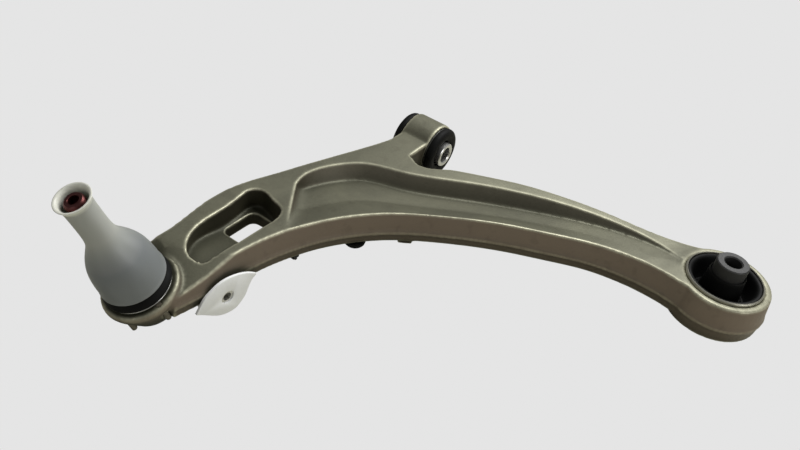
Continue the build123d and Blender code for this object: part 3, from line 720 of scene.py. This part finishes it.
class ARM_OT_rear_bush(bpy.types.Operator):
    """Model the rear bush's rubber bowl, its core and its shell"""
    bl_idname = "arm.rear_bush"
    bl_label = "Rear bush"

    def execute(self, context):
        bowl = [(15.0, -10.0), (16.2, -10.2), (17.4, -8.4), (19.0, -6.2), (21.2, -6.6),
                (23.0, -11), (24.0, -17.0), (26, -17.9), (28.9, -18.0), (28.95, -14),
                (28.9, -10.9), (25.5, -10.8), (25.5, 10.8), (28.9, 10.9), (28.95, 14),
                (28.9, 17.6), (27.6, 18.0), (25.6, 17.3), (24.6, 15.0), (23.6, 9.0),
                (22.2, 3.0), (20.4, -0.6), (18.4, 0.4), (16.9, 3.4), (15.0, 3.6)]
        collar = [(12.8, -24.0), (14.4, -23.8), (15.0, -20), (15.8, -12), (16.3, -8.0),
                  (16.5, 1.0), (16.4, 4.4), (15.5, 9.0), (14.9, 16), (14.4, 22.6),
                  (13.7, 24.0), (12.8, 24.0)]
        for name, profile, body in (("rear_bowl", bowl, "arm"),
                                    ("rear_collar", collar, "rear_core")):
            rubber = spun(name, profile, 96)
            modify(rubber, "SUBSURF", levels=1, render_levels=1)
            put(rubber, REAR_BUSH)
            soften(rubber)
            finish_piece(rubber, finish("rubber"), body, "rubber", "rear_bush_rubber")

        length, outer, bore = CORE_HALF, CORE_R, CORE_BORE_R
        profile = [(bore, -length + 0.9), (bore + 0.9, -length), (outer - 0.8, -length),
                   (outer, -length + 0.8), (outer, length - 0.8), (outer - 0.8, length),
                   (bore + 0.9, length), (bore, length - 0.9)]
        core = spun("rear_core", profile, 120)
        put(core, REAR_BUSH)
        soften(core, 30)
        finish_piece(core, finish("core_steel"), "rear_core", "dark_steel",
                     "rear_bush_inner_core")
        shell = spun("rear_sleeve_ring", [(29.05, -18.7), (29.3, -19.0), (30.2, -19.0),
                                    (30.5, -18.7), (30.5, 18.0), (30.1, 18.6),
                                    (29.5, 19.0), (29.05, 18.6)], 128)
        put(shell, REAR_BUSH)
        soften(shell, 30)
        finish_piece(shell, finish("shell_alloy"), "arm", "shell_alloy",
                     "rear_bush_outer_shell")
        dress(frame["nodes"]["rear_bush_channel_ring"], finish("black_plastic"))
        dress(frame["nodes"]["rear_bush_window_cage"], finish("dark_steel"))
        return {"FINISHED"}


class ARM_OT_ball_joint(bpy.types.Operator):
    """Model the threaded stud and finish the ball joint's cartridge"""
    bl_idname = "arm.ball_joint"
    bl_label = "Ball joint"

    def execute(self, context):
        stud = self.stud()
        put(stud, BALL_JOINT)
        soften(stud, 30)
        finish_piece(stud, finish("stud_steel"), "stud", "stud_steel", "ball_stud")
        nodes = frame["nodes"]
        for name, kind in (("ball_joint_housing", "dark_steel"),
                           ("ball_seat_upper", "seat_plastic"),
                           ("ball_seat_lower", "seat_plastic"),
                           ("seat_preload_ring", "rubber"),
                           ("housing_closing_plate", "zinc_steel"),
                           ("housing_snap_ring", "dark_steel"),
                           ("housing_lock_pins", "pin_steel"),
                           ("stud_guide_ring", "black_plastic")):
            dress(nodes[name], finish(kind))
        return {"FINISHED"}

    def stud(self):
        """Ball, neck, taper and a helical thread with a round socket in its end."""
        profile = [(4.6, -10.8)]
        for step in range(1, 13):
            turn = math.radians(-64 + step * 10.2)
            radius, height = BALL_R * math.cos(turn), BALL_R * math.sin(turn)
            if height < 10.2 and radius > 6.0:
                profile.append((radius, height))
        profile += [(6.3, 11.0), (6.0, 13.0), (6.0, 22.6), (7.2, 25.2), (9.1, 27.0),
                    (9.1, 29.2), (8.5, 30.0), (8.5, 38.0), (8.0, 52.0), (7.5, 65.0),
                    (6.2, 66.0), (6.1, 67.2)]
        length = THREAD_TOP - THREAD_LOW
        for ring in range(THREAD_RINGS + 1):
            profile.append((THREAD_BLANK_R, THREAD_LOW + length * ring / THREAD_RINGS))
        profile += [(5.6, 99.0), (3.7, 99.0), (3.5, 98.7), (3.5, 93.6), (0.3, 93.4)]
        stud = spun("ball_stud_body", profile, 72, loop=False)
        self.thread(stud)
        return stud

    def thread(self, stud):
        """Push the thread's rings in and out along a helix, fading at both ends."""
        root = THREAD_R - THREAD_DEPTH
        for vertex in stud.data.vertices:
            z = vertex.co.z / MM
            radius = vertex.co.xy.length / MM
            if not (THREAD_LOW + 0.1 < z < THREAD_TOP - 0.1 and radius > 6.3):
                continue
            turn = math.atan2(vertex.co.y, vertex.co.x) / (2 * math.pi)
            flank = abs((z / THREAD_PITCH - turn) % 1.0 - 0.5) * 2
            fade = min(1.0, (z - THREAD_LOW) / 2.0, (THREAD_TOP - z) / 1.2)
            crest = THREAD_R - THREAD_DEPTH * min(1.0, max(0.0, (flank - 0.12) / 0.76))
            k = (root + (crest - root) * fade) / radius
            vertex.co.x *= k
            vertex.co.y *= k


class ARM_OT_dust_boot(bpy.types.Operator):
    """Model the rubber boot in two halves that meet at its waist"""
    bl_idname = "arm.dust_boot"
    bl_label = "Dust boot"

    def execute(self, context):
        outer = [(23.0, 5.8), (23.1, 6.0), (22.45, 6.25), (22.4, 7.5), (23.2, 7.8),
                 (24.3, 8.7), (24.5, 9.7), (24.2, 10.8), (23.0, 12.4), (21.6, 14.4),
                 (20.6, 16.8), (20.3, 18.6), (20.0, 20.2), (18.6, 21.8), (17.4, 23.4),
                 (17.7, 24.8), (17.6, 26.0), (15.6, 27.4), (13.8, 28.5), (12.9, 30.6),
                 (12.3, 32.2), (11.8, 33.3), (11.8, 34.7), (12.6, 35.6), (12.8, 36.2),
                 (12.2, 36.4), (9.98, 36.4)]
        inner = [(9.96, 31.4), (12.0, 27.2), (14.2, 26.0), (15.4, 25.2), (15.0, 23.1),
                 (16.4, 20.9), (17.8, 19.2), (18.5, 16.6), (19.1, 14.0), (20.6, 11.8),
                 (22.2, 9.4), (17.2, 8.3), (17.2, 5.8)]
        waist, waist_out, waist_in = BOOT_WAIST, (20.15, BOOT_WAIST), (17.7, BOOT_WAIST)
        low_outer = [p for p in outer if p[1] <= waist]
        low_inner = [p for p in inner if p[1] <= waist]
        low_profile = low_outer + [waist_out, waist_in] + low_inner
        high_outer = [waist_out] + [p for p in outer if p[1] > waist]
        high_inner = [p for p in inner if p[1] > waist] + [waist_in]
        lower = self.half("boot_lower_half", low_profile)
        upper = self.half("boot_upper_half", high_outer + high_inner)
        for half, low, high, bodies in ((lower, 8.5, waist - 0.2, ("arm", "stud_swing")),
                                        (upper, waist + 0.2, 31.0,
                                         ("stud_swing", "stud_tilt"))):
            dress(half, finish("rubber"))
            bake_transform(half)
            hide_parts("dust_boot")
        for name in ("boot_lower_clip", "boot_upper_clip"):
            dress(frame["nodes"][name], finish("zinc_steel"))
        return {"FINISHED"}

    def half(self, name, profile):
        half = spun(name, profile, 96)
        put(half, BALL_JOINT)
        soften(half, 40)
        return half


class ARM_OT_transport_cap(bpy.types.Operator):
    """Model the milky cap that covers the stud and the boot"""
    bl_idname = "arm.transport_cap"
    bl_label = "Transport cap"

    def execute(self, context):
        outer = [(23.5, 16.0), (23.55, 17.4), (23.1, 18.0), (22.9, 19.0), (22.85, 23.0),
                 (22.6, 28.0), (22.1, 33.5), (21.1, 39.0), (19.2, 44.5), (16.6, 49.8),
                 (13.9, 54.6), (11.6, 59.0), (10.35, 63.5), (9.8, 68.5), (9.6, 75.0),
                 (9.6, 83.0), (9.65, 91.0), (9.9, 95.4), (10.7, 98.0), (12.0, 99.8),
                 (12.2, 100.3), (12.0, CAP_MOUTH)]
        inner = [(r - CAP_WALL, z) for r, z in reversed(outer[3:-4])]
        profile = (outer + [(10.9, CAP_MOUTH), (10.0, 99.8)] + inner
                   + [(21.4, 17.6), (21.5, 16.0)])
        cap = spun("transport_cap_body", profile, 96)
        modify(cap, "SUBSURF", levels=1, render_levels=1)
        put(cap, BALL_JOINT)
        soften(cap, 50)
        finish_piece(cap, finish("cap_plastic"), "cap", "cap_plastic", "transport_cap")
        return {"FINISHED"}


class ARM_OT_under_parts(bpy.types.Operator):
    """Finish the sensor bracket, its rivets and nut, the buffer and the clip"""
    bl_idname = "arm.under_parts"
    bl_label = "Parts under the beam"

    def execute(self, context):
        bracket = copied("sensor_bracket", "sensor_lug")
        edit(bracket)
        bpy.ops.mesh.select_all(action="SELECT")
        bpy.ops.mesh.dissolve_limited(angle_limit=math.radians(2))
        bpy.ops.object.mode_set(mode="OBJECT")
        modify(bracket, "BEVEL", width=LUG_BEVEL * MM, segments=2, limit_method="ANGLE",
               angle_limit=math.radians(50))
        soften(bracket, 30)
        finish_piece(bracket, finish("white_zinc"), "arm", "white_zinc", "sensor_bracket")

        low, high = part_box("rubber_buffer")
        middle = (low + high) / 2
        profile = [(0.4, low.z / MM), (5.8, low.z / MM), (7.4, low.z / MM + 0.3),
                   (8.5, low.z / MM + 1.6), (8.95, low.z / MM + 3.4),
                   (8.8, low.z / MM + 4.3), (3.5, low.z / MM + 4.45),
                   (3.5, high.z / MM - 1.2), (2.6, high.z / MM), (0.4, high.z / MM)]
        buffer = spun("rubber_stop", profile, 64, loop=False)
        put(buffer, Matrix.Translation((middle.x, middle.y, 0)))
        soften(buffer, 40)
        finish_piece(buffer, finish("rubber"), "arm", "rubber", "rubber_buffer")
        dress(frame["nodes"]["bracket_rivets"], finish("dark_steel"))
        dress(frame["nodes"]["bracket_clinch_nut"], finish("zinc_steel"))
        dress(frame["nodes"]["edge_clip"], finish("black_plastic"))
        return {"FINISHED"}


class ARM_PT_panel(bpy.types.Panel):
    """The steps that finish the control arm"""
    bl_label = "Control Arm"
    bl_idname = "ARM_PT_panel"
    bl_space_type = "VIEW_3D"
    bl_region_type = "UI"
    bl_category = "Control Arm"

    def draw(self, context):
        for operator in OPERATORS:
            self.layout.operator(operator.bl_idname)
        for group in SETTINGS:
            for name in group.__annotations__:
                self.layout.prop(getattr(context.scene, SETTINGS[group]), name)


SETTINGS = {ArmForgingSettings: "arm_forging", RubberSettings: "rubber_parts",
            CapSettings: "transport_cap", StageSettings: "arm_stage"}
OPERATORS = (ARM_OT_stage, ARM_OT_forging, ARM_OT_front_bush, ARM_OT_rear_bush,
             ARM_OT_ball_joint, ARM_OT_dust_boot, ARM_OT_transport_cap, ARM_OT_under_parts)


def register():
    for cls in (*SETTINGS, *OPERATORS, ARM_PT_panel):
        bpy.utils.register_class(cls)
    for group, name in SETTINGS.items():
        setattr(bpy.types.Scene, name, bpy.props.PointerProperty(type=group))


def unregister():
    for name in SETTINGS.values():
        delattr(bpy.types.Scene, name)
    for cls in reversed((*SETTINGS, *OPERATORS, ARM_PT_panel)):
        bpy.utils.unregister_class(cls)


def main():
    register()
    clear_selection()
    for operator in OPERATORS:
        group, name = operator.bl_idname.split(".")
        getattr(getattr(bpy.ops, group), name)()
    clear_selection()


if __name__ == "__main__":
    main()
